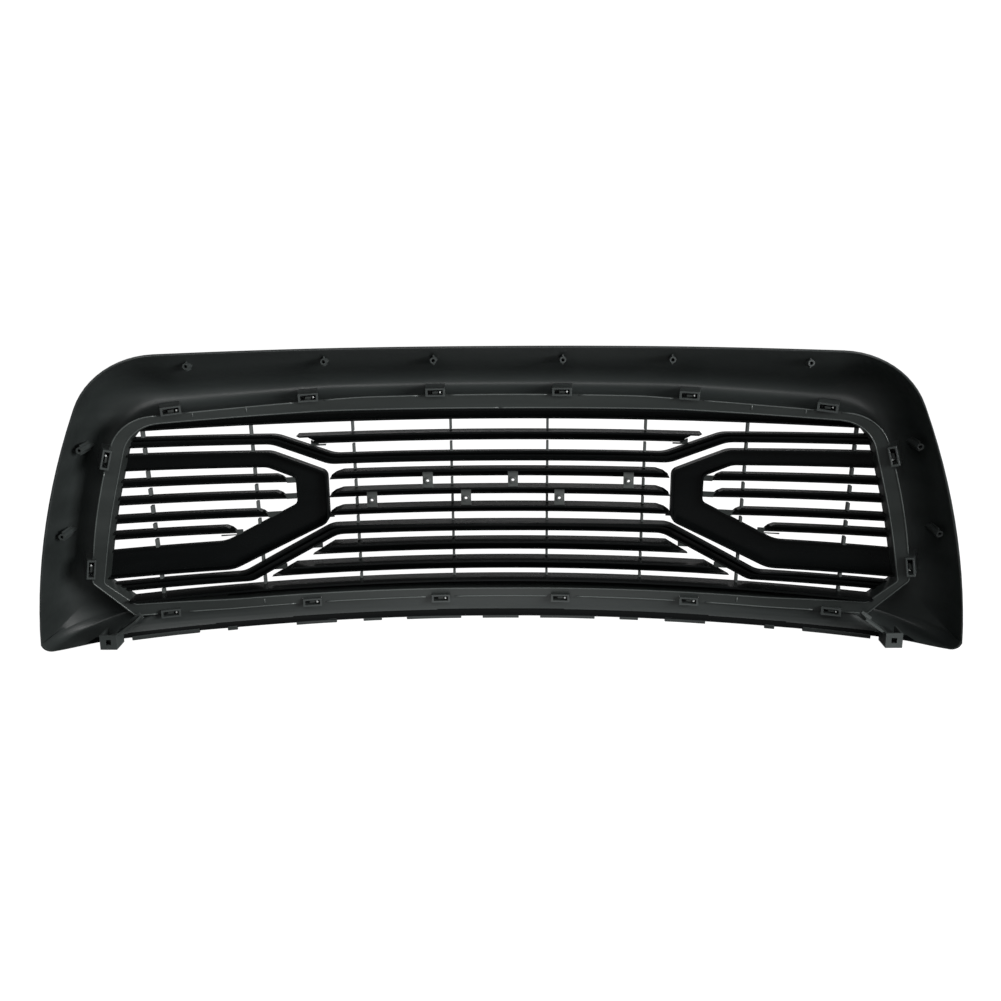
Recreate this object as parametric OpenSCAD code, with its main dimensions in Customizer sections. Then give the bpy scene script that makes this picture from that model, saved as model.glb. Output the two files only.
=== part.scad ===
// Front grille of a full-size pickup: one moulded surround shell that carries a clipped-in insert.
// X runs across the vehicle, the grille's front faces -Y, its back faces +Y, and Z is up.
// The design surface is the front of the louvres: a cone swept about an upright axis behind the grille.

/* [Sweep] */
// Radius of the plan-view sweep of the louvre fronts
sweep_r = 1480; // [1400:20:1600]
// Lean of the top of the grille towards the back, degrees
rake = 8; // [6:0.5:10]

/* [Surround shell] */
// Wall thickness of the surround
shell_t = 3; // [2.5:0.5:4]
// Height of the top rim above the design centre
shell_top = 243.5; // [242:0.5:250]
// Depth of the bottom rim below the design centre
shell_bottom = 182; // [181:0.5:187]
// Distance of the rim behind the design surface
rim_depth = 50; // [45:1:56]

/* [Insert frame] */
// Depth of the insert frame from front to back
frame_depth = 26; // [24:1:30]
// Wall thickness of the insert mouldings
insert_t = 2.8; // [2:0.2:3.2]

/* [Louvres] */
// Depth of the top wall of the highest louvre
louvre_depth_top = 26; // [20:1:30]
// Depth of the top wall of the lowest louvre
louvre_depth_bottom = 36; // [31:1:38]
// Depth of the lip under each centre louvre and rail
lip_depth = 11; // [6:1:14]
// Depth of the top wall of the side louvres
side_depth = 14; // [12:1:20]
// Depth of the outer wall of the ring around each side opening
bezel_depth = 15; // [12:1:20]
// Depth of the inner lip of the rings, side louvres and contour bars
side_lip = 8; // [6:0.5:10]

/* [Ribs] */
// Distance between neighbouring upright ribs
rib_spacing = 142; // [141:0.5:143]
// Thickness of each upright rib
rib_t = 3.6; // [3:0.2:4]

/* [Fastening] */
// Hole radius of the screw bosses
boss_hole_r = 2.4; // [2:0.1:2.8]
// Hole radius of the badge tabs
badge_hole_r = 2.2; // [1.8:0.1:2.6]
// Side of the square hole in each lower bracket
bracket_hole = 8; // [6:0.5:9]

/* [Hidden] */
$fn = 48;
ORIGIN_Y = 84.5;
ORIGIN_Z = 28.75;
REACH = 700;
SHELL_COLOUR = [0.13, 0.14, 0.14];
FRAME_COLOUR = [0.20, 0.21, 0.21];
BAR_COLOUR = [0.06, 0.06, 0.065];
CLIP_COLOUR = [0.26, 0.27, 0.27];

// Half outlines seen from the front, from the top centre round to the bottom centre: [x, z, corner radius].
RIM = [[0, shell_top, 0], [250, shell_top + 0.5, 900], [534, shell_top, 112], [627, 21, 1130],
       [646, -150, 900], [648, -shell_bottom + 5, 14], [400, -shell_bottom + 1, 900], [0, -shell_bottom - 1, 0]];
SHELL_LIP = [[0, 163, 0], [250, 162.5, 900], [514, 150, 62], [557, 4, 1130],
             [575, -88, 8], [531, -140, 8], [400, -145, 900], [0, -146, 0]];
FRAME_OUT = [[0, 171, 0], [200, 170, 900], [300, 164.5, 900], [521, 153, 60], [568, 15, 900],
             [581, -86, 9], [533, -146, 9], [400, -151.5, 900], [0, -151, 0]];
FRAME_IN = [[0, 149, 0], [250, 149.5, 900], [507, 141.5, 50], [545, 10, 1130],
            [565, -88, 7], [530, -126, 9], [400, -134, 900], [0, -136, 0]];

flange_front = frame_depth - insert_t;

// Cross-sections of the surround from its inner lip (0) to its rim (1): [fraction, depth behind the surface].
TOP_SECTION = [[0, flange_front], [0.01, 8], [0.05, -4], [0.12, -13], [0.22, -19], [0.34, -19], [0.46, -13],
               [0.57, -2], [0.68, 12], [0.79, 26], [0.9, 39], [1, rim_depth]];
SIDE_SECTION = [[0, flange_front], [0.02, 8], [0.07, -4], [0.16, -13], [0.3, -19], [0.48, -21], [0.65, -18],
                [0.8, -10], [0.91, 4], [0.965, 20], [0.985, 35], [1, rim_depth]];
BOTTOM_SECTION = [[0, flange_front - shell_t], [0.06, 20], [0.14, 20], [0.22, 20], [0.3, 20], [0.4, 20],
                  [0.5, 20.5], [0.58, 21], [0.66, 22], [0.76, 23.5], [0.88, 26], [1, 30]];
ARC_STEPS = 5;
SWEEP_FN = 360;
RING_STEP = 40;

// Centre louvres: [top edge, height, half width at the top, half width at the bottom].
LOUVRES = [[114.3, 15.4, 291, 266], [56.8, 14, 218, 251], [28.6, 14.2, 220, 253], [0.3, 14.6, 222, 255],
           [-56.4, 20, 250, 283], [-87.6, 20.6, 308, 345]];
// Side louvres: [top edge, height, inner end of the tip]. They rise outwards, turned about the point at SIDE_X.
SIDE_LOUVRES = [[58.6, 12.8, 311], [32.6, 12.8, 313], [4.9, 12.8, 341], [-19.4, 12.8, 388]];
SIDE_X = 448;
SIDE_RISE = 2;
TOP_RAIL = [149, 18];
BOTTOM_RAIL = [-119, 17];

// Contour bars, upper and lower edge from the centre outwards: [x, z, corner radius].
UPPER_CONTOUR = [[[0, 81.9, 0], [241, 82.3, 45], [320, 115, 45], [560, 124, 0]],
                 [[0, 65.4, 0], [250, 65.8, 45], [329, 100, 45], [560, 108.5, 0]]];
LOWER_CONTOUR = [[[0, -28.1, 0], [252, -27.6, 35], [384, -97.5, 30], [590, -94.5, 0]],
                 [[0, -46.6, 0], [244, -46, 35], [372, -114, 30], [590, -109.5, 0]]];
CONTOUR_DEPTHS = [13, 32];
// The back of the lower contour bar is flatter than its front, so the bar thins to this depth at its ends.
LOWER_BACK_R = 2800;
LOWER_END_DEPTH = 10;
// Ring around the left side opening: its outer and inner edge, open towards the frame.
BEZEL_OUT = [[585, 101, 0], [330, 90, 34], [253, 55, 12], [254, -24, 18], [396, -90.5, 45], [600, -85.5, 0]];
BEZEL_IN = [[585, 76, 0], [338, 65.5, 30], [299.5, 47, 7], [299.5, 6.5, 12], [405, -46.5, 40], [600, -44, 0]];

// Screw bosses: [x, z, depth of the tip, hole depth].
TOP_BOSSES = [[91, 222.5, 44, 13.5], [242.5, 224, 44, 12], [423, 224, 44, 10]];
SIDE_BOSSES = [[570.5, 113, 30, 14], [607.5, -10, 30, 14]];
// Boss: wall around its hole, half span of its fins across and up, fin thickness, drop of the fins from the tip.
BOSS_WALL = 2.1;
BOSS_FINS = [5, 7];
FIN_T = 1.8;
FIN_DROP = 5;
// Clips: [x, z, turn about the depth axis].
TOP_CLIPS = [[92.6, 174.5, 0], [275, 171.5, 2], [461.2, 161.5, 5]];
SIDE_CLIPS = [[550.8, 97.5, 75], [589.7, -63, 82]];
BOTTOM_CLIPS = [[93.6, -151.5, 180], [291, -148.5, 180], [494.8, -146, 180]];
CLIPS = concat(TOP_CLIPS, SIDE_CLIPS, BOTTOM_CLIPS);
// Clip tower: length, width, and depth of its back edge behind the surface.
CLIP = [28, 12, 33];
CLIP_FLOOR = 18;
// Offsets from the middle of a tower, away from the opening, where its foot is cut to the shell.
CLIP_FEET = [-4, 0, 4];
// Badge tabs: [x, number of the louvre above].
BADGE_TABS = [[106, 1], [-20, 1], [-190, 1], [189, 2], [50, 2], [-89, 2]];
// Bottom locating tabs: [inner end, outer end].
FOOT_TABS = [[61, 145], [183, 211], [251, 311], [396, 410], [449, 540]];
CENTRE_FOOT = 28;
// Locating tab: drop below the rim, overlap with it.
FOOT = [3.5, 3];
// Badge tab: width, height of its hole above the louvre below, depth of its back face.
BADGE_TAB = [15, 10.5, 24];
// Link tabs: [x from, x to, z].
LINK_TABS = [[299, 332, 44], [299, 336, 19], [322, 362, -8], [380, 412, -33],
             [253, 275, 99], [248, 262, -14], [268, 300, -62], [322, 356, -93]];
RIB_DEPTH = 12;
BRACKET = [561, -170.5];
BRACKET_PAD = [528, -146.5];

// ---- Functions ----

function lean(z) = z * tan(rake);

// Y of the design surface at a point of the front view.
function surface_y(x, z) = sweep_r - sqrt(pow(sweep_r - lean(z), 2) - x * x);

function unit2(v) = v / norm(v);

// Points along the arc that rounds the corner at b between a and c.
function round_corner(a, b, c, r) =
    let (
        u = unit2([a[0] - b[0], a[1] - b[1]]),
        v = unit2([c[0] - b[0], c[1] - b[1]]),
        half = acos(u * v) / 2,
        centre = [b[0], b[1]] + unit2(u + v) * r / sin(half),
        first = [b[0], b[1]] + u * r / tan(half) - centre,
        last = [b[0], b[1]] + v * r / tan(half) - centre,
        turn = atan2(first[0] * last[1] - first[1] * last[0], first * last)
    )
    [for (i = [0 : ARC_STEPS]) centre + turned(first, turn * i / ARC_STEPS)];

function turned(p, angle) = [p[0] * cos(angle) - p[1] * sin(angle), p[0] * sin(angle) + p[1] * cos(angle)];

// The open outline through the given corners, with each inner corner rounded.
function rounded_path(c) = concat(
    [[c[0][0], c[0][1]]],
    [for (i = [1 : len(c) - 2], p = round_corner(c[i - 1], c[i], c[i + 1], c[i][2])) p],
    [[c[len(c) - 1][0], c[len(c) - 1][1]]]);

function reversed(list) = [for (i = [len(list) - 1 : -1 : 0]) list[i]];

function flipped(list) = [for (p = list) [-p[0], p[1]]];

// A closed outline from its right half.
function both_halves(c) =
    let (half = rounded_path(c), n = len(half))
    concat(half, flipped([for (i = [n - 2 : -1 : 1]) half[i]]));

// The path moved sideways by t, to its left as it runs.
function shifted(p, t) = [for (i = [0 : len(p) - 1])
    let (
        a = p[max(i - 1, 0)],
        b = p[min(i + 1, len(p) - 1)],
        d = unit2(b - a)
    )
    p[i] + t * [-d[1], d[0]]];

function mix(a, b, t) = a * (1 - t) + b * t;

function smooth(t) = let (c = min(max(t, 0), 1)) c * c * (3 - 2 * c);

function louvre_depth(z) = mix(louvre_depth_bottom, louvre_depth_top, min(max((z + 119) / 233, 0), 1));

// ---- Shared shapes ----

module place() {
    translate([0, -ORIGIN_Y, -ORIGIN_Z])
        children();
}

module on_right() {
    mirror([1, 0, 0])
        children();
}

// Front-view outline pushed through the whole depth of the grille.
module through(points) {
    translate([0, REACH / 2, 0])
        rotate([90, 0, 0])
            linear_extrude(height = REACH)
                polygon(points);
}

// Section drawn as [depth, height], swept about the upright axis.
module swept(section, half_x) {
    half_angle = asin(half_x / (sweep_r - 40)) + 1;
    translate([0, sweep_r, 0])
        rotate([0, 0, -90 - half_angle])
            rotate_extrude(angle = 2 * half_angle, $fn = SWEEP_FN)
                polygon([for (p = section) [sweep_r - p[0], p[1]]]);
}

// Band of the cone from one depth behind the design surface to another.
module cone_band(from, to, low, high, half_x) {
    swept([[lean(low) + from, low], [lean(low) + to, low], [lean(high) + to, high], [lean(high) + from, high]],
          half_x);
}

// Louvre section: a channel open to the back, with a deep top wall and a short lip below.
function louvre_section(top, height, back, lip) =
    let (t = insert_t, low = top - height)
    [[lean(top), top], [lean(low), low], [lean(low) + lip, low], [lean(low) + lip, low + t],
     [lean(low) + t, low + t], [lean(top) + t, top - t], [lean(top) + back, top - t], [lean(top) + back, top]];

module louvre(top, height, outline, half_x, back, lip) {
    color(BAR_COLOUR)
        intersection() {
            swept(louvre_section(top, height, back, lip), half_x);
            through(outline);
        }
}

// Louvre outline with both ends rounded down from the top edge to the tip.
function tip_curve(top, height, x_top, x_low) =
    [for (i = [0 : 4]) [mix(x_top, x_low, sin(22.5 * i)), top + 1 - (height + 2) * (1 - cos(22.5 * i))]];

// Louvre end cut along a straight slant, carried past both edges.
function slant(top, height, x_top, x_low) =
    let (slope = (x_low - x_top) / height)
    [[x_top - 2 * slope, top + 2], [x_low + 2 * slope, top - height - 2]];

function centre_outline(i) =
    let (
        l = LOUVRES[i],
        curve = concat(tip_curve(l[0], l[1], l[2], l[3]), [[l[3], l[0] - l[1] - 2]]),
        right = i > 0 && i < 4 ? curve : slant(l[0], l[1], l[2], l[3])
    )
    concat(right, reversed(flipped(right)));

module centre_louvre(i) {
    l = LOUVRES[i];
    place()
        louvre(l[0], l[1], centre_outline(i), max(l[2], l[3]) + 5, louvre_depth(l[0]), lip_depth);
}

// The louvre's outline runs out past the frame's inner edge, which cuts it.
function side_outline(i) =
    let (l = SIDE_LOUVRES[i], low = l[0] - l[1] - 2)
    concat([[610, l[0] + 1]], tip_curve(l[0], l[1], l[2] + 22, l[2]), [[l[2], low], [610, low]]);

// Turns a side louvre up towards its outer end.
module risen(z) {
    translate([SIDE_X, 0, z])
        rotate([0, -SIDE_RISE, 0])
            translate([-SIDE_X, 0, -z])
                children();
}

module side_louvre(i) {
    l = SIDE_LOUVRES[i];
    place()
        intersection() {
            risen(l[0])
                louvre(l[0], l[1], side_outline(i), 605, side_depth, side_lip);
            opening();
        }
}

module opening() {
    through(both_halves(FRAME_IN));
}

module rail(r) {
    place()
        louvre(r[0], r[1], both_halves(FRAME_IN), 560, louvre_depth(r[0]), lip_depth);
}

// What is cut from a bar between two depths, inside a front-view outline.
module hollow(from, to, outline) {
    intersection() {
        cone_band(from, to, -136, 141, 620);
        through(outline);
    }
}

// Closed outline between an upper and a lower edge, both drawn from the centre outwards.
function full_band(upper, lower) =
    let (rest = function(list) [for (i = [1 : len(list) - 1]) list[i]])
    concat(upper, reversed(lower), flipped(rest(lower)), reversed(flipped(rest(upper))));

function contour_outline(edges) = full_band(rounded_path(edges[0]), rounded_path(edges[1]));

// Bar of the full width: a top wall, and two grooves open to the back with a low rib between them.
module contour_bar(edges, depth) {
    upper = rounded_path(edges[0]);
    lower = rounded_path(edges[1]);
    middle = [for (i = [0 : len(upper) - 1]) mix(upper[i], lower[i], 0.5)];
    t = insert_t;
    place()
        color(BAR_COLOUR)
            difference() {
                intersection() {
                    cone_band(0, depth, -135, 140, 590);
                    through(contour_outline(edges));
                    opening();
                }
                hollow(t, depth + 1, full_band(shifted(upper, -t), shifted(middle, t / 2)));
                hollow(t, depth + 1, full_band(shifted(middle, -t / 2), shifted(lower, t)));
                hollow(side_lip, depth + 1, full_band(shifted(upper, -t), shifted(lower, -t)));
            }
}

module lower_contour_bar() {
    back = CONTOUR_DEPTHS[1] + lean(LOWER_CONTOUR[0][0][1]);
    color(BAR_COLOUR)
        difference() {
            contour_bar(LOWER_CONTOUR, CONTOUR_DEPTHS[1]);
            place()
                difference() {
                    translate([0, LOWER_BACK_R + back, -REACH / 2])
                        cylinder(r = LOWER_BACK_R, h = REACH, $fn = SWEEP_FN);
                    cone_band(-CONTOUR_DEPTHS[1], LOWER_END_DEPTH, -135, 140, 620);
                }
        }
}

function bezel_outline() = concat(rounded_path(BEZEL_OUT), reversed(rounded_path(BEZEL_IN)));

// Ring around a side opening: a groove open to the back between an outer wall and a shallow inner lip.
module side_bezel() {
    outer = rounded_path(BEZEL_OUT);
    inner = rounded_path(BEZEL_IN);
    t = insert_t;
    place()
        color(BAR_COLOUR)
            difference() {
                intersection() {
                    cone_band(0, bezel_depth, -135, 140, 600);
                    through(bezel_outline());
                    opening();
                }
                hollow(t, bezel_depth + 1, concat(shifted(outer, t), reversed(shifted(inner, -t))));
                hollow(side_lip, bezel_depth + 1, concat(shifted(outer, t), reversed(shifted(inner, t))));
            }
}

// ---- Surround shell ----

// Weight of the side section and of the bottom section along the outline.
function side_share(p) = smooth((abs(p[0]) - 440) / 110);
function bottom_share(p) = smooth((-p[1] - 135) / 28) * smooth((640 - abs(p[0])) / 80);

function blended_section(p) =
    let (s = side_share(p), b = bottom_share(p))
    [for (i = [0 : len(TOP_SECTION) - 1])
        mix(mix(TOP_SECTION[i], SIDE_SECTION[i], s), BOTTOM_SECTION[i], b)];

// One ring of the shell: the front skin from lip to rim and the back skin from rim to lip.
function shell_ring(lip, rim) =
    let (
        width = norm(rim - lip),
        way = (rim - lip) / width,
        skin = [for (s = blended_section(rim)) [s[0] * width, s[1]]],
        back = shifted(skin, shell_t)
    )
    [for (q = concat(skin, reversed(back)))
        let (p = lip + way * q[0])
        [p[0], surface_y(p[0], p[1]) + q[1], p[1]]];

module surround_shell() {
    lips = subdivided(both_halves(SHELL_LIP));
    rims = subdivided(both_halves(RIM));
    rings = [for (i = [0 : len(rims) - 1]) shell_ring(lips[i], rims[i])];
    n = len(rings[0]);
    m = len(rings);
    points = [for (ring = rings, p = ring) p];
    faces = [for (j = [0 : m - 1], i = [0 : n - 1], half = [0, 1])
        let (a = j * n + i, b = j * n + (i + 1) % n, k = (j + 1) % m, c = k * n + i, d = k * n + (i + 1) % n)
        half == 0 ? [a, b, d] : [a, d, c]];
    place()
        color(SHELL_COLOUR)
            polyhedron(points = points, faces = faces);
}

// The closed outline with extra points on every long stretch, judged on the rim.
function subdivided(p) =
    let (rim = both_halves(RIM), n = len(p))
    [for (i = [0 : n - 1])
        let (k = (i + 1) % n, steps = max(1, ceil(norm(rim[k] - rim[i]) / RING_STEP)))
        for (s = [0 : steps - 1]) mix(p[i], p[k], s / steps)];

// ---- Pieces on the shell ----

LIP_HALF = rounded_path(SHELL_LIP);
RIM_HALF = rounded_path(RIM);
// How far inside the lip a point may lie and still be taken to the shell.
LIP_MARGIN = 40;

// Positive where the point lies before the line from lip to rim, walking from the top centre downwards.
function before(q, lip, rim) = cross(rim - lip, q - lip);

// Distance of the point beyond the lip, along the line from lip to rim.
function beyond_lip(q, k) = (q - LIP_HALF[k]) * unit2(RIM_HALF[k] - LIP_HALF[k]);

// Stretch of the shell between two outline points in which the front-view point lies.
function stretch_at(q) = [for (k = [0 : len(RIM_HALF) - 2])
    if (max(beyond_lip(q, k), beyond_lip(q, k + 1)) > -LIP_MARGIN
        && before(q, LIP_HALF[k], RIM_HALF[k]) * before(q, LIP_HALF[k + 1], RIM_HALF[k + 1]) <= 0) k][0];

// Lip and rim end of the shell's section line through the point, found by halving the stretch.
function section_line(q, k, from = 0, to = 1, steps = 16) =
    let (
        t = (from + to) / 2,
        lip = mix(LIP_HALF[k], LIP_HALF[k + 1], t),
        rim = mix(RIM_HALF[k], RIM_HALF[k + 1], t),
        same = before(q, lip, rim) * before(q, LIP_HALF[k], RIM_HALF[k]) > 0
    )
    steps == 0 ? [lip, rim] : section_line(q, k, same ? t : from, same ? to : t, steps - 1);

// Y of the shell's front skin at a point of the front view.
function skin_y(q) =
    let (line = section_line(q, stretch_at(q)))
    surface_y(q[0], q[1]) + lookup(norm(q - line[0]) / norm(line[1] - line[0]), blended_section(line[1]));

// Slopes of the skin across and up, over the span of a small foot.
function skin_slope(q, span = 4) =
    [for (d = [[span, 0], [0, span]]) (skin_y(q + d) - skin_y(q - d)) / (2 * span)];

// Cuts a piece off at the middle of the shell's wall under the point.
module cut_at_skin(q) {
    slope = skin_slope(q);
    turn = atan(slope[0]);
    wall_y = skin_y(q) + shell_t / 2 * norm([1, slope[0], slope[1]]);
    difference() {
        children();
        translate([q[0], wall_y, q[1]])
            rotate([-atan(slope[1] * cos(turn)), 0, turn])
                translate([-60, -120, -60])
                    cube([120, 120, 120]);
    }
}

// Hollow screw boss with fins.
module screw_boss(b) {
    q = [b[0], b[1]];
    tip_y = surface_y(b[0], b[1]) + b[2];
    reach = tip_y - skin_y(q) + 20;
    cut_at_skin(q)
        translate([b[0], tip_y, b[1]])
            rotate([90, 0, 0])
                difference() {
                    union() {
                        cylinder(r = boss_hole_r + BOSS_WALL, h = reach);
                        translate([-BOSS_FINS[0], -FIN_T / 2, FIN_DROP])
                            cube([2 * BOSS_FINS[0], FIN_T, reach]);
                        translate([-FIN_T / 2, -BOSS_FINS[1], FIN_DROP])
                            cube([FIN_T, 2 * BOSS_FINS[1], reach]);
                    }
                    translate([0, 0, -1])
                        cylinder(r = boss_hole_r, h = b[3] + 1);
                }
}

module screw_bosses(list) {
    place()
        color(CLIP_COLOUR)
            for (b = list)
                on_both_sides()
                    screw_boss(b);
}

// Places a clip: [x, z, turn], where the turn points its window at the opening.
module at_clip(p) {
    translate([p[0], surface_y(p[0], p[1]), p[1]])
        rotate([0, 0, asin(p[0] / sweep_r)])
            rotate([0, p[2], 0])
                children();
}

module on_both_sides() {
    for (side = [0, 1])
        mirror([side, 0, 0])
            children();
}

// Clip tower: a hollow post beside the frame, with a window that the insert's hook snaps into.
module clip_tower() {
    difference() {
        translate([-CLIP[0] / 2, -20, -CLIP[1] / 2])
            cube([CLIP[0], CLIP[2] + 20, CLIP[1]]);
        translate([-CLIP[0] / 2 + 3, CLIP_FLOOR, -CLIP[1] / 2 + 2.5])
            cube([CLIP[0] - 6, CLIP[2], CLIP[1] - 5]);
        translate([-5, -25, -2])
            cube([10, 50, 4]);
        translate([-5, flange_front - 1, -CLIP[1] / 2 - 1])
            cube([10, insert_t + 2, 5]);
    }
}

// Front-view point at a distance from the middle of a clip, away from the opening.
function beside_clip(p, distance) = [p[0], p[1]] + distance * [sin(p[2]), cos(p[2])];

module clip_towers(list) {
    place()
        color(CLIP_COLOUR)
            for (p = list)
                on_both_sides()
                    cut_at_skin(beside_clip(p, CLIP_FEET[0]))
                        cut_at_skin(beside_clip(p, CLIP_FEET[1]))
                            cut_at_skin(beside_clip(p, CLIP_FEET[2]))
                                at_clip(p)
                                    clip_tower();
}

// Height of the bottom rim at a distance from the centre.
function rim_z(x) = lookup(x, [for (corner = [RIM[7], RIM[6], RIM[5]]) [corner[0], corner[1]]]);

module bottom_locating_tabs() {
    spans = concat([[-CENTRE_FOOT, CENTRE_FOOT]], FOOT_TABS, [for (s = FOOT_TABS) [-s[1], -s[0]]]);
    place()
        color(SHELL_COLOUR)
            intersection() {
                cone_band(27.5, 31, -shell_bottom - 10, -shell_bottom + 10, 560);
                union() {
                    for (s = spans)
                        translate([s[0], -REACH / 2, rim_z(abs(s[0] + s[1]) / 2) - FOOT[0]])
                            cube([s[1] - s[0], REACH, FOOT[0] + FOOT[1]]);
                }
            }
}

// Lower bracket: an open box with a square hole, on a deep arm that rises to a pad beside the frame.
module lower_bracket() {
    y = surface_y(BRACKET[0], BRACKET[1]);
    arm = BRACKET_PAD - BRACKET;
    place()
        color(CLIP_COLOUR) {
            translate([BRACKET[0], y, BRACKET[1]])
                difference() {
                    translate([-12, 31, -11])
                        cube([24, 32, 22]);
                    translate([-9.5, 30, -8.5])
                        cube([19, 30, 25]);
                    translate([-bracket_hole / 2, 20, -bracket_hole / 2])
                        cube([bracket_hole, 50, bracket_hole]);
                }
            translate([BRACKET[0], y, BRACKET[1]])
                rotate([0, -atan2(arm[1], arm[0]), 0]) {
                    translate([13, 31, -1.5])
                        cube([norm(arm) - 5, 24, 3]);
                    translate([norm(arm) - 8, 28, -5])
                        cube([17, 3, 10]);
                }
        }
}

module lower_bracket_left() {
    lower_bracket();
}

module lower_bracket_right() {
    on_right()
        lower_bracket();
}

// ---- Insert ----

module insert_frame() {
    inner = both_halves(FRAME_IN);
    place()
        color(FRAME_COLOUR)
            difference() {
                union() {
                    intersection() {
                        cone_band(0, frame_depth, -160, 175, 600);
                        through(shifted(inner, insert_t));
                    }
                    intersection() {
                        cone_band(frame_depth - insert_t, frame_depth, -160, 175, 600);
                        through(both_halves(FRAME_OUT));
                    }
                }
                through(inner);
                for (p = CLIPS)
                    on_both_sides()
                        at_clip(p)
                            translate([-CLIP[0] / 2 - 0.3, 0, -CLIP[1] / 2 - 0.3])
                                cube([CLIP[0] + 0.6, 60, CLIP[1] + 0.6]);
            }
}

// Hook of the insert: a foot that passes through the tower's window, and a barb inside it.
module snap_hook() {
    translate([-4, flange_front, -CLIP[1] / 2 - 0.3])
        cube([8, insert_t, CLIP[1] / 2 + 1.3]);
    translate([-4, frame_depth, -1])
        cube([8, 3.5, 2]);
    translate([-4, frame_depth + 2, -1.8])
        cube([8, 1.5, 3]);
}

module insert_snap_hooks() {
    place()
        color(FRAME_COLOUR)
            for (p = CLIPS)
                on_both_sides()
                    at_clip(p)
                        snap_hook();
}

// Every bar that stands between the rails, as seen from the front.
module bar_outlines() {
    for (i = [0 : len(LOUVRES) - 1])
        through(centre_outline(i));
    for (i = [0 : len(SIDE_LOUVRES) - 1])
        risen(SIDE_LOUVRES[i][0])
            through(side_outline(i));
    through(contour_outline(UPPER_CONTOUR));
    through(contour_outline(LOWER_CONTOUR));
    through(bezel_outline());
}

// Upright rib: thin plates that fill the gaps between the bars, all in one plane.
module upright_rib(i) {
    x = rib_spacing * (i - 0.5);
    top = TOP_RAIL[0] - TOP_RAIL[1];
    low = BOTTOM_RAIL[0];
    place()
        color(FRAME_COLOUR)
            difference() {
                intersection() {
                    cone_band(insert_t, RIB_DEPTH, low, top, x + 10);
                    translate([x - rib_t / 2, -REACH / 2, low])
                        cube([rib_t, REACH, top - low]);
                }
                bar_outlines();
            }
}

// Badge tabs: plates that close the gap between two louvres, each with a ringed hole.
module badge_tabs() {
    place()
        color(CLIP_COLOUR)
            for (b = BADGE_TABS)
                badge_tab(b[0], LOUVRES[b[1] + 1][0], LOUVRES[b[1]][0] - insert_t);
}

module badge_tab(x, low, high) {
    z = low + BADGE_TAB[1];
    translate([x, surface_y(x, z) + BADGE_TAB[2], z])
        rotate([90, 0, 0])
            difference() {
                union() {
                    translate([-BADGE_TAB[0] / 2, low - z, 0])
                        cube([BADGE_TAB[0], high - low, insert_t]);
                    translate([0, 0, -1.8])
                        cylinder(r = badge_hole_r + 2.6, h = insert_t + 1.8);
                }
                translate([0, 0, -3])
                    cylinder(r = badge_hole_r, h = 8);
            }
}

// Thin tabs that tie the louvre tips to the pieces beside them.
module link_tabs() {
    place()
        color(FRAME_COLOUR)
            difference() {
                for (s = LINK_TABS)
                    translate([s[0], surface_y((s[0] + s[1]) / 2, s[2]) + 2, s[2] - 4])
                        rotate([0, 0, asin((s[0] + s[1]) / 2 / sweep_r)])
                            cube([s[1] - s[0], 3, 8]);
                bar_outlines();
            }
}

module link_tabs_left() {
    link_tabs();
}

module link_tabs_right() {
    on_right()
        link_tabs();
}

surround_shell();
screw_bosses(TOP_BOSSES);  // top_screw_bosses
screw_bosses(SIDE_BOSSES);  // side_screw_bosses
clip_towers(TOP_CLIPS);  // top_clip_towers
clip_towers(SIDE_CLIPS);  // side_clip_towers
clip_towers(BOTTOM_CLIPS);  // bottom_clip_towers
bottom_locating_tabs();
lower_bracket_left();
lower_bracket_right();
insert_frame();
insert_snap_hooks();
rail(TOP_RAIL);  // top_rail
rail(BOTTOM_RAIL);  // bottom_rail
centre_louvre(0);  // centre_louvre_1
centre_louvre(1);  // centre_louvre_2
centre_louvre(2);  // centre_louvre_3
centre_louvre(3);  // centre_louvre_4
centre_louvre(4);  // centre_louvre_5
centre_louvre(5);  // centre_louvre_6
contour_bar(UPPER_CONTOUR, CONTOUR_DEPTHS[0]);  // upper_contour_bar
lower_contour_bar();
side_bezel();  // side_bezel_left
on_right() side_bezel();  // side_bezel_right
side_louvre(0);  // side_louvre_left_1
side_louvre(1);  // side_louvre_left_2
side_louvre(2);  // side_louvre_left_3
side_louvre(3);  // side_louvre_left_4
on_right() side_louvre(0);  // side_louvre_right_1
on_right() side_louvre(1);  // side_louvre_right_2
on_right() side_louvre(2);  // side_louvre_right_3
on_right() side_louvre(3);  // side_louvre_right_4
upright_rib(1);  // upright_rib_left_1
upright_rib(2);  // upright_rib_left_2
upright_rib(3);  // upright_rib_left_3
upright_rib(4);  // upright_rib_left_4
on_right() upright_rib(1);  // upright_rib_right_1
on_right() upright_rib(2);  // upright_rib_right_2
on_right() upright_rib(3);  // upright_rib_right_3
on_right() upright_rib(4);  // upright_rib_right_4
badge_tabs();
link_tabs_left();
link_tabs_right();
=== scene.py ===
import math

import bmesh
import bpy
from mathutils import Matrix, Vector


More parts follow.
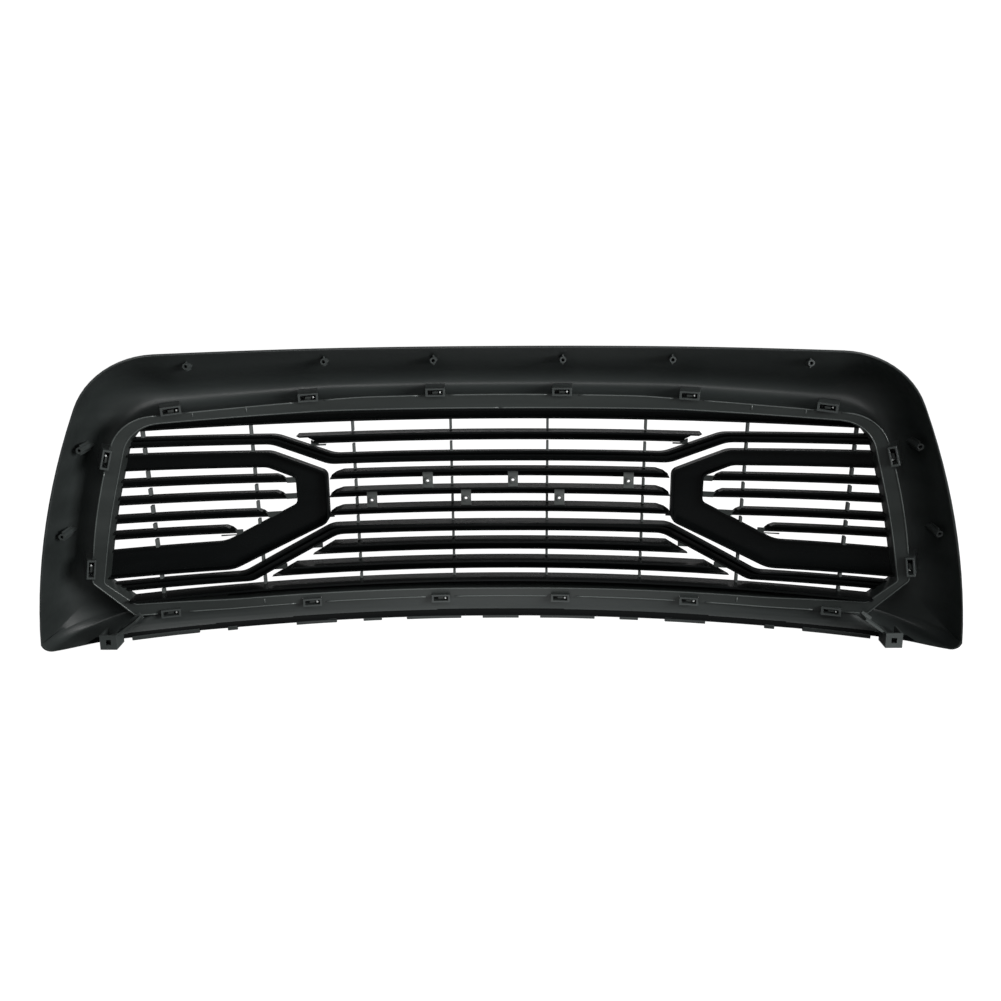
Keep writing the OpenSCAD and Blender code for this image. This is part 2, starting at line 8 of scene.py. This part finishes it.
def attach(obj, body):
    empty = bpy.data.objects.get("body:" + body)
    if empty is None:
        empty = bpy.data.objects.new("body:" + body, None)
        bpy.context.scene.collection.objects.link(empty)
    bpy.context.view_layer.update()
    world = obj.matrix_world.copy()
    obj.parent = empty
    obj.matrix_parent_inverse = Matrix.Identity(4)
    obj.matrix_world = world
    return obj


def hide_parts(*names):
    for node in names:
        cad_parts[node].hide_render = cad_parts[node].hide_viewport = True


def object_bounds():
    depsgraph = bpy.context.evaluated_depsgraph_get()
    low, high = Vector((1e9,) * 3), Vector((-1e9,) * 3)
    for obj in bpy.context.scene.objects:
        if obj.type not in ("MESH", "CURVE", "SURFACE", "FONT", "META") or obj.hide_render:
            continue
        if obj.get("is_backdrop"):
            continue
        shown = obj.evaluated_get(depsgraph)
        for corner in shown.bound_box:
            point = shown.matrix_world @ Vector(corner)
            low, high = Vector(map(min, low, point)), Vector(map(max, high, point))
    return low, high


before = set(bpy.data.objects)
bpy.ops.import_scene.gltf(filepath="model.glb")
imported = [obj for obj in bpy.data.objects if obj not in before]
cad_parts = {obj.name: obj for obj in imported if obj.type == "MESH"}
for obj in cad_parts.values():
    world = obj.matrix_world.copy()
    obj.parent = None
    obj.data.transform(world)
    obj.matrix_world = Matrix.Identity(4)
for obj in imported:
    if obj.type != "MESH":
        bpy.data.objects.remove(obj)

CAD_LO, CAD_HI = (tuple(v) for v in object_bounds())

# ---- The grille's design surface, in millimetres, with the offset into the shared frame ----

# Millimetres in a metre.
MM = 1000
SWEEP_R, RAKE = 1480.0, math.tan(math.radians(8))
ORIGIN_Y, ORIGIN_Z = 84.5, 28.75
SHELL_T = 3.0


def surface_y(x, z):
    return SWEEP_R - math.sqrt((SWEEP_R - z * RAKE) ** 2 - x * x)


def place(x, depth, z):
    """A point of the front view, some depth behind the design surface, in metres."""
    return Vector((x, surface_y(x, z) + depth - ORIGIN_Y, z - ORIGIN_Z)) / MM


def on_band(x, depth, z):
    """A point of the insert's swept bands, where depth runs towards the axis of the sweep."""
    y = SWEEP_R - math.sqrt((SWEEP_R - z * RAKE - depth) ** 2 - x * x)
    return Vector((x, y - ORIGIN_Y, z - ORIGIN_Z)) / MM


def smooth(t):
    t = min(max(t, 0.0), 1.0)
    return t * t * (3 - 2 * t)


def corner(a, b, c, r, steps):
    """Points along the arc of radius r that rounds the corner at b."""
    a, b, c = Vector(a[:2]), Vector(b[:2]), Vector(c[:2])
    u, v = (a - b).normalized(), (c - b).normalized()
    half = u.angle(v) / 2
    centre = b + (u + v).normalized() * (r / math.sin(half))
    first, last = b + u * (r / math.tan(half)) - centre, b + v * (r / math.tan(half)) - centre
    turn = math.atan2(first.x * last.y - first.y * last.x, first.dot(last))
    out = []
    for i in range(steps + 1):
        k = turn * i / steps
        out.append(centre + Vector((first.x * math.cos(k) - first.y * math.sin(k),
                                    first.x * math.sin(k) + first.y * math.cos(k))))
    return out


CORNER_STEPS = 12


def rounded(points):
    """An open outline of (x, z, corner radius), with its inner corners rounded."""
    out = [Vector(points[0][:2])]
    for i in range(1, len(points) - 1):
        out += corner(points[i - 1], points[i], points[i + 1], points[i][2], CORNER_STEPS)
    return out + [Vector(points[-1][:2])]


def both_halves(points):
    """The closed outline made of one half, from the top centre to the bottom, and its mirror image."""
    half = rounded(points)
    return half + [Vector((-p.x, p.y)) for p in half[-2:0:-1]]


def densify(paths, step):
    """Cuts the long stretches of several matched closed outlines, judged on the last one."""
    judge, n = paths[-1], len(paths[-1])
    out = [[] for _ in paths]
    for i in range(n):
        k = (i + 1) % n
        steps = max(1, math.ceil((judge[k] - judge[i]).length / step))
        for s in range(steps):
            for o, p in zip(out, paths):
                o.append(p[i].lerp(p[k], s / steps))
    return out


# ---- Materials ----

FINE_DETAIL, FLOW_DETAIL = 5, 4
FLOW_SCALE, FLOW_STRETCH = 9, (0.35, 1, 3.2)
TINT_BAND, GLOSS_BAND = (0.35, 0.65), (0.3, 0.7)
GRAIN_HEIGHT = 0.0004
PLASTIC_IOR = 1.5


def node_material(name, base, rough, bump, grain, tint=0.12, shine=0.5, sweep=0.06):
    """Moulded plastic: fine grain, faint flow marks and uneven gloss."""
    m = bpy.data.materials.new(name)
    m.use_nodes = True
    t = m.node_tree
    b = t.nodes["Principled BSDF"]
    co = t.nodes.new("ShaderNodeTexCoord")
    fine = t.nodes.new("ShaderNodeTexNoise")
    fine.inputs["Scale"].default_value = grain
    fine.inputs["Detail"].default_value = FINE_DETAIL
    flow = t.nodes.new("ShaderNodeTexNoise")
    flow.inputs["Scale"].default_value = FLOW_SCALE
    flow.inputs["Detail"].default_value = FLOW_DETAIL
    stretch = t.nodes.new("ShaderNodeMapping")
    stretch.inputs["Scale"].default_value = FLOW_STRETCH
    t.links.new(co.outputs["Object"], fine.inputs["Vector"])
    t.links.new(co.outputs["Object"], stretch.inputs["Vector"])
    t.links.new(stretch.outputs["Vector"], flow.inputs["Vector"])
    colour = t.nodes.new("ShaderNodeValToRGB")
    for stop, change, at in zip(colour.color_ramp.elements, (1 - tint, 1 + tint), TINT_BAND):
        stop.color = (*(c * change for c in base), 1)
        stop.position = at
    t.links.new(flow.outputs["Fac"], colour.inputs["Fac"])
    t.links.new(colour.outputs["Color"], b.inputs["Base Color"])
    gloss = t.nodes.new("ShaderNodeMapRange")
    gloss.inputs["From Min"].default_value, gloss.inputs["From Max"].default_value = GLOSS_BAND
    gloss.inputs["To Min"].default_value = rough - sweep
    gloss.inputs["To Max"].default_value = rough + sweep
    t.links.new(flow.outputs["Fac"], gloss.inputs["Value"])
    t.links.new(gloss.outputs["Result"], b.inputs["Roughness"])
    hump = t.nodes.new("ShaderNodeBump")
    hump.inputs["Strength"].default_value = bump
    hump.inputs["Distance"].default_value = GRAIN_HEIGHT
    t.links.new(fine.outputs["Fac"], hump.inputs["Height"])
    t.links.new(hump.outputs["Normal"], b.inputs["Normal"])
    b.inputs["IOR"].default_value = PLASTIC_IOR
    b.inputs["Specular IOR Level"].default_value = shine
    return m


SHELL = node_material("shell_plastic", (0.021, 0.0252, 0.0245), 0.46, 0.35, 900)
FRAME = node_material("frame_plastic", (0.021, 0.025, 0.0238), 0.42, 0.4, 1100)
# Much paler than the frame plastic: this colour is a painted highlight along the frame's edges and witness
# ribs.
EDGE_BEAD_HIGHLIGHT = node_material("frame_edge_painted_highlight", (0.075, 0.085, 0.082), 0.30, 0.2, 1300)
BAR = node_material("louvre_plastic", (0.0022, 0.0028, 0.0029), 0.26, 0.2, 1400, shine=0.2)
EDGE_DARK = node_material("shell_edge_plastic", (0.0010, 0.0016, 0.0017), 0.6, 0.3, 900, shine=0.1)
RIB = node_material("rib_plastic", (0.075, 0.082, 0.080), 0.40, 0.3, 1300)
CLIP = node_material("clip_plastic", (0.040, 0.046, 0.045), 0.38, 0.35, 1200)
# Badge tabs are painted much paler than the louvres they sit on: a painted highlight for the light they
# catch.
BADGE_HIGHLIGHT = node_material("badge_tab_painted_highlight", (0.062, 0.068, 0.066), 0.40, 0.3, 1300)
# Light grey hook tips: the shape stands for the hooks, and the colour is a painted highlight, the glint on
# each tip.
HOOK_TIP_HIGHLIGHT = node_material("hook_tip_painted_highlight", (0.55, 0.57, 0.56), 0.3, 0.2, 1300)


def material_for(node):
    if node.startswith(("surround", "bottom_locating")):
        return SHELL
    if node.startswith(("top_screw", "side_screw", "top_clip", "side_clip", "bottom_clip", "lower_bracket")):
        return CLIP
    if node.startswith("badge"):
        return BADGE_HIGHLIGHT
    if node.startswith("upright"):
        return RIB
    if node.startswith(("insert", "link")):
        return FRAME
    return BAR


# Widths of the softened edges, in metres, by how a node's name starts. The rest take EDGE.
THIN_EDGES = {"upright": 0.0004, "link": 0.0003, "badge": 0.0004, "insert_snap": 0.0002}
EDGE, EDGE_ANGLE, SKIN_ANGLE = 0.0007, 35, 50
WELD_DISTANCE = 0.00001


def soften_edges(o, width, angle):
    bevel = o.modifiers.new("edges", "BEVEL")
    bevel.width = width
    bevel.segments = 2
    bevel.limit_method = "ANGLE"
    bevel.angle_limit = math.radians(angle)


def finish_node(o, width):
    """Joins the CAD mesh's facets, softens its edges and evens out its shading."""
    weld = o.modifiers.new("weld", "WELD")
    weld.merge_threshold = WELD_DISTANCE
    soften_edges(o, width, EDGE_ANGLE)
    normals = o.modifiers.new("normals", "WEIGHTED_NORMAL")
    normals.keep_sharp = False


for node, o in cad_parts.items():
    o.data.materials.clear()
    o.data.materials.append(material_for(node))
    finish_node(o, next((w for k, w in THIN_EDGES.items() if node.startswith(k)), EDGE))


def add_mesh(name, verts, faces, material, *nodes):
    """A new smooth piece on the grille, standing for the nodes named, if any."""
    mesh = bpy.data.meshes.new(name)
    mesh.from_pydata([tuple(v) for v in verts], [], faces)
    bm = bmesh.new()
    bm.from_mesh(mesh)
    bmesh.ops.recalc_face_normals(bm, faces=bm.faces)
    bm.to_mesh(mesh)
    bm.free()
    mesh.polygons.foreach_set("use_smooth", [True] * len(mesh.polygons))
    mesh.materials.append(material)
    o = bpy.data.objects.new(name, mesh)
    bpy.context.scene.collection.objects.link(o)
    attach(o, "root")
    if nodes:
        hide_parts(*nodes)
    return o


# ---- Surround shell, lofted finely between its inner lip and its rim ----

RIM = [(0, 243.5, 0), (250, 244, 900), (534, 243.5, 112), (627, 21, 1130), (646, -150, 900),
       (648, -177, 14), (400, -181, 900), (0, -183, 0)]
LIP = [(0, 163, 0), (250, 162.5, 900), (514, 150, 62), (557, 4, 1130), (575, -88, 8), (531, -140, 8),
       (400, -145, 900), (0, -146, 0)]
FLANGE_FRONT = 23.2
TOP_SECTION = [(0, FLANGE_FRONT), (0.01, 8), (0.05, -4), (0.12, -13), (0.22, -19), (0.34, -19), (0.46, -13),
               (0.57, -2), (0.68, 12), (0.79, 26), (0.9, 39), (1, 50)]
SIDE_SECTION = [(0, FLANGE_FRONT), (0.02, 8), (0.07, -4), (0.16, -13), (0.3, -19), (0.48, -21), (0.65, -18),
                (0.8, -10), (0.91, 4), (0.965, 20), (0.985, 35), (1, 50)]
BOTTOM_SECTION = [(0, FLANGE_FRONT - SHELL_T), (0.06, 20), (0.14, 20), (0.22, 20), (0.3, 20), (0.4, 20),
                  (0.5, 20.5), (0.58, 21), (0.66, 22), (0.76, 23.5), (0.88, 26), (1, 30)]
# The strip along the bottom rim is dark, below this height and within this distance of the centre.
DARK_EDGE_Z, DARK_EDGE_X = -172.0, 592.0
# Where one section starts to give way to the next, and over what distance.
SIDE_FROM, SIDE_RUN = 440, 110
BOTTOM_FROM, BOTTOM_RUN = 135, 28
BOTTOM_END, BOTTOM_END_RUN = 640, 80
SKIN_STEP, CURVE_STEPS = 11, 4


def blended_section(p):
    """The section at a point of the rim, between the top's, the sides' and the bottom's."""
    s = smooth((abs(p.x) - SIDE_FROM) / SIDE_RUN)
    b = smooth((-p.y - BOTTOM_FROM) / BOTTOM_RUN) * smooth((BOTTOM_END - abs(p.x)) / BOTTOM_END_RUN)
    out = []
    for t, e, d in zip(TOP_SECTION, SIDE_SECTION, BOTTOM_SECTION):
        out.append(Vector(t).lerp(Vector(e), s).lerp(Vector(d), b))
    return out


def curve_through(points, per):
    """Smooth open curve through the points (centripetal Catmull-Rom)."""
    p = [points[0] * 2 - points[1]] + list(points) + [points[-1] * 2 - points[-2]]
    out = []
    for i in range(1, len(p) - 2):
        a, b, c, d = p[i - 1], p[i], p[i + 1], p[i + 2]
        t = [0.0]
        for u, v in ((a, b), (b, c), (c, d)):
            t.append(t[-1] + max((v - u).length, 1e-6) ** 0.5)
        for k in range(per):
            s = t[1] + (t[2] - t[1]) * k / per
            a1 = a * ((t[1] - s) / (t[1] - t[0])) + b * ((s - t[0]) / (t[1] - t[0]))
            a2 = b * ((t[2] - s) / (t[2] - t[1])) + c * ((s - t[1]) / (t[2] - t[1]))
            a3 = c * ((t[3] - s) / (t[3] - t[2])) + d * ((s - t[2]) / (t[3] - t[2]))
            b1 = a1 * ((t[2] - s) / (t[2] - t[0])) + a2 * ((s - t[0]) / (t[2] - t[0]))
            b2 = a2 * ((t[3] - s) / (t[3] - t[1])) + a3 * ((s - t[1]) / (t[3] - t[1]))
            out.append(b1 * ((t[2] - s) / (t[2] - t[1])) + b2 * ((s - t[1]) / (t[2] - t[1])))
    return out + [Vector(points[-1])]


def offset(path, t):
    """The open path moved sideways by t."""
    out = []
    for i, p in enumerate(path):
        d = (path[min(i + 1, len(path) - 1)] - path[max(i - 1, 0)]).normalized()
        out.append(p + Vector((-d.y, d.x)) * t)
    return out


def surround_shell():
    lips, rims = densify([both_halves(LIP), both_halves(RIM)], SKIN_STEP)
    verts, n = [], 0
    for lip, rim in zip(lips, rims):
        width = (rim - lip).length
        way = (rim - lip) / width
        skin = curve_through([Vector((q.x * width, q.y)) for q in blended_section(rim)], CURVE_STEPS)
        ring = skin + offset(skin, SHELL_T)[::-1]
        n = len(ring)
        for q in ring:
            p = lip + way * q.x
            verts.append(place(p.x, q.y, p.y))
    m = len(lips)
    faces = []
    for j in range(m):
        k = (j + 1) % m
        for i in range(n):
            h = (i + 1) % n
            faces.append((j * n + i, j * n + h, k * n + h, k * n + i))
    o = add_mesh("surround_shell_skin", verts, faces, SHELL, "surround_shell")
    o.data.materials.append(EDGE_DARK)
    for f in o.data.polygons:
        if f.center.z * MM + ORIGIN_Z < DARK_EDGE_Z and abs(f.center.x) * MM < DARK_EDGE_X:
            f.material_index = 1
    soften_edges(o, EDGE, SKIN_ANGLE)


surround_shell()

# ---- Raised edges of the insert frame, pale as a painted highlight ----

FRAME_OUT = [(0, 171, 0), (200, 170, 900), (300, 164.5, 900), (521, 153, 60), (568, 15, 900), (581, -86, 9),
             (533, -146, 9), (400, -151.5, 900), (0, -151, 0)]
FRAME_IN = [(0, 149, 0), (250, 149.5, 900), (507, 141.5, 50), (545, 10, 1130), (565, -88, 7), (530, -126, 9),
            (400, -134, 900), (0, -136, 0)]
FRAME_DEPTH = 26.0
# How far each bead runs from its outline, positive outwards, and its radius.
OUTER_BEAD, INNER_BEAD = (-1.1, 1.0), (1.3, 0.8)
EDGE_STEP, BEAD_SIDES = 9, 8
# Front-view centres of the clip towers where they pass the flange, and how close to one a bead stops.
CLIPS = [(91, 174.5), (270, 171.5), (453, 161.5), (541, 97.5), (579.5, -63), (92, -151.5), (286, -148.5),
         (486, -146)]
CLIP_REACH = 17.0


def inset(path, t):
    """The closed outline moved sideways by t, to its left as it runs."""
    out, n = [], len(path)
    for i, p in enumerate(path):
        d = (path[(i + 1) % n] - path[i - 1]).normalized()
        out.append(p + Vector((-d.y, d.x)) * t)
    return out


def clear_of_clips(p):
    return all((Vector((abs(p.x), p.y)) - Vector(c)).length > CLIP_REACH for c in CLIPS)


def open_runs(path, keep):
    """Splits a closed outline into the runs of points that pass the test."""
    flags = [keep(p) for p in path]
    if all(flags):
        return [path + path[:1]]
    start = flags.index(False)
    runs, run = [], []
    for i in range(start, start + len(path)):
        if flags[i % len(path)]:
            run.append(path[i % len(path)])
        elif run:
            runs.append(run)
            run = []
    return runs + ([run] if run else [])


def tube_faces(first, rings, sides):
    """Faces of a closed tube whose rings of points follow one another."""
    faces = []
    for i in range(rings - 1):
        a, b = first + i * sides, first + (i + 1) * sides
        for k in range(sides):
            h = (k + 1) % sides
            faces.append((a + k, a + h, b + h, b + k))
    last = first + (rings - 1) * sides
    return faces + [tuple(first + k for k in range(sides)), tuple(last + k for k in range(sides))]


def bead(name, runs, radius):
    """Round beads along front-view runs, on the back of the insert's flange, in a pale colour that paints on
    the highlight their edges catch.
    """
    verts, faces = [], []
    for run in runs:
        if len(run) < 2:
            continue
        line = [on_band(p.x, FRAME_DEPTH, p.y) for p in run]
        first = len(verts)
        for i, p in enumerate(line):
            along = (line[min(i + 1, len(line) - 1)] - line[max(i - 1, 0)]).normalized()
            side = along.cross(Vector((0, 1, 0))).normalized()
            rise = side.cross(along)
            for k in range(BEAD_SIDES):
                a = 2 * math.pi * k / BEAD_SIDES
                verts.append(p + (side * math.cos(a) + rise * math.sin(a)) * radius / MM)
        faces += tube_faces(first, len(line), BEAD_SIDES)
    add_mesh(name, verts, faces, EDGE_BEAD_HIGHLIGHT)


outer = inset(densify([both_halves(FRAME_OUT)], EDGE_STEP)[0], OUTER_BEAD[0])
inner = inset(densify([both_halves(FRAME_IN)], EDGE_STEP)[0], INNER_BEAD[0])
bead("frame_outer_edge", open_runs(outer, clear_of_clips), OUTER_BEAD[1])
bead("frame_inner_edge", open_runs(inner, lambda p: True), INNER_BEAD[1])

# Witness ribs across the flange, as [x, lower end, upper end], on both sides, pale with the beads' painted
# highlight.
WITNESS = [(355, 153, 160), (426, 150.5, 156), (355, -146, -138.5)]
WITNESS_RADIUS = 0.9
bead("frame_witness_ribs", [[Vector((side * x, lo)), Vector((side * x, hi))] for x, lo, hi in WITNESS
                            for side in (1, -1)], WITNESS_RADIUS)

# ---- Tips of the insert's hooks inside the clip towers, light grey as a painted highlight ----

# How far each tip, with its painted glint, sits from its tower's centre, in the top and bottom rows and in
# the side ones.
TIP_SHIFT, SIDE_TIP_SHIFT = 7.0, 5.5
TIP_RADIUS, TIP_SIDES = 1.7, 14
# Radius, and depth behind the design surface, out to the rounded end.
TIP_PROFILE = [(TIP_RADIUS, 22.0), (TIP_RADIUS, 29.6), (1.3, 30.6), (0.6, 31.1)]


def hook_tips():
    spots = [(side * x - TIP_SHIFT, z) for x, z in CLIPS[:3] + CLIPS[5:] for side in (1, -1)]
    spots += [(side * x, z + side * SIDE_TIP_SHIFT) for x, z in CLIPS[3:5] for side in (1, -1)]
    verts, faces = [], []
    for x, z in spots:
        first, lean = len(verts), x / SWEEP_R
        for r, d in TIP_PROFILE:
            drift = (d - FRAME_DEPTH) * lean
            for k in range(TIP_SIDES):
                a = 2 * math.pi * k / TIP_SIDES
                verts.append(place(x, 0, z) + Vector((r * math.cos(a) - drift, d, r * math.sin(a))) / MM)
        faces += tube_faces(first, len(TIP_PROFILE), TIP_SIDES)
    add_mesh("snap_hook_tips_painted_highlight", verts, faces, HOOK_TIP_HIGHLIGHT)


hook_tips()

# ---- Camera at the photographed angle ----

DISTANCE, LENS, SENSOR, FAR = 1.750, 41.55, 36, 60
# Small turn of the camera that centres the grille sideways.
AIM_SHIFT = 0.00056
TILT, YAW, ROLL = math.radians(14.2), math.radians(-0.8), math.radians(-0.43)
right = Vector((-math.cos(YAW), math.sin(YAW), 0))
up = Vector((-math.sin(TILT) * math.sin(YAW), -math.sin(TILT) * math.cos(YAW), math.cos(TILT)))
back = Vector((math.cos(TILT) * math.sin(YAW), math.cos(TILT) * math.cos(YAW), math.sin(TILT)))
right, up = right * math.cos(ROLL) + up * math.sin(ROLL), up * math.cos(ROLL) - right * math.sin(ROLL)
eye = back * DISTANCE - Vector((0, ORIGIN_Y, ORIGIN_Z)) / MM
back = (back - right * AIM_SHIFT).normalized()
right = up.cross(back).normalized()
cam = bpy.data.objects.new("camera", bpy.data.cameras.new("camera"))
bpy.context.scene.collection.objects.link(cam)
cam.data.sensor_width = SENSOR
cam.data.lens = LENS
cam.data.clip_end = FAR
axes = Matrix((right, up, back)).transposed().to_4x4()
cam.matrix_world = Matrix.Translation(eye) @ axes
bpy.context.scene.camera = cam

# ---- Plain pale floor and soft studio light ----

FLOOR_HALF, FLOOR_GAP, FLOOR_GREY = 14, 0.0005, 0.2
BOUNCE, BOUNCE_SPREAD = (0.006, 0.9), (0.42, 0.30)
floor_mesh = bpy.data.meshes.new("floor")
corners = [(x * FLOOR_HALF, y * FLOOR_HALF, 0) for x, y in ((-1, -1), (1, -1), (1, 1), (-1, 1))]
floor_mesh.from_pydata(corners, [], [(0, 1, 2, 3)])
floor = bpy.data.objects.new("floor", floor_mesh)
floor.location.z = CAD_LO[2] - FLOOR_GAP
bpy.context.scene.collection.objects.link(floor)
pale = bpy.data.materials.new("floor_pale")
pale.use_nodes = True
pale_shader = pale.node_tree.nodes["Principled BSDF"]
pale_shader.inputs["Base Color"].default_value = (FLOOR_GREY, FLOOR_GREY, FLOOR_GREY, 1)
pale_shader.inputs["Roughness"].default_value = 0.9
pale_shader.inputs["Specular IOR Level"].default_value = 0.1
pale_shader.inputs["Emission Color"].default_value = (1, 1, 1, 1)
pale_shader.inputs["Emission Strength"].default_value = 1.0
floor_mesh.materials.append(pale)
# White to the camera; what it throws on the grille fades away from under it.
links = pale.node_tree.links
spot = pale.node_tree.nodes.new("ShaderNodeTexGradient")
spot.gradient_type = "SPHERICAL"
spread = pale.node_tree.nodes.new("ShaderNodeMapping")
spread.inputs["Scale"].default_value = (1 / BOUNCE_SPREAD[0], 1 / BOUNCE_SPREAD[1], 1)
where = pale.node_tree.nodes.new("ShaderNodeTexCoord")
bounce = pale.node_tree.nodes.new("ShaderNodeMapRange")
bounce.inputs["To Min"].default_value, bounce.inputs["To Max"].default_value = BOUNCE
seen = pale.node_tree.nodes.new("ShaderNodeLightPath")
strength = pale.node_tree.nodes.new("ShaderNodeMix")
strength.inputs["B"].default_value = 1.0
links.new(where.outputs["Object"], spread.inputs["Vector"])
links.new(spread.outputs["Vector"], spot.inputs["Vector"])
links.new(spot.outputs["Fac"], bounce.inputs["Value"])
links.new(seen.outputs["Is Camera Ray"], strength.inputs["Factor"])
links.new(bounce.outputs["Result"], strength.inputs["A"])
links.new(strength.outputs["Result"], pale_shader.inputs["Emission Strength"])
floor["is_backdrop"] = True

# The backdrop is white to the camera, and dim in what it throws on the grille.
BACKDROP, AMBIENT = 1.1, 0.045
world = bpy.data.worlds.new("studio")
world.use_nodes = True
nodes, links = world.node_tree.nodes, world.node_tree.links
ambient = nodes["Background"]
ambient.inputs["Color"].default_value = (1, 1, 1, 1)
ambient.inputs["Strength"].default_value = AMBIENT
backdrop = nodes.new("ShaderNodeBackground")
backdrop.inputs["Color"].default_value = (1, 1, 1, 1)
backdrop.inputs["Strength"].default_value = BACKDROP
ray = nodes.new("ShaderNodeLightPath")
either = nodes.new("ShaderNodeMixShader")
links.new(ray.outputs["Is Camera Ray"], either.inputs["Fac"])
links.new(ambient.outputs["Background"], either.inputs[1])
links.new(backdrop.outputs["Background"], either.inputs[2])
links.new(either.outputs["Shader"], nodes["World Output"].inputs["Surface"])
bpy.context.scene.world = world


def area(name, at, aim, size, power):
    """A soft rectangular light, in metres and watts."""
    data = bpy.data.lights.new(name, "AREA")
    data.shape = "RECTANGLE"
    data.size, data.size_y = size
    data.energy = power
    o = bpy.data.objects.new(name, data)
    o.location = at
    o.rotation_mode = "QUATERNION"
    o.rotation_quaternion = (Vector(aim) - Vector(at)).to_track_quat("-Z", "Y")
    bpy.context.scene.collection.objects.link(o)


area("key", (-2.2, 1.5, 0.5), (0.3, 0, 0), (1.4, 1.0), 92)
area("back", (0.0, 2.6, 1.8), (0, 0, 0), (2.4, 0.8), 34)
area("front", (0.0, -2.2, 1.4), (0, 0, 0), (2.0, 1.0), 11)

bpy.context.scene.view_settings.view_transform = "Standard"
bpy.context.scene.view_settings.look = "None"
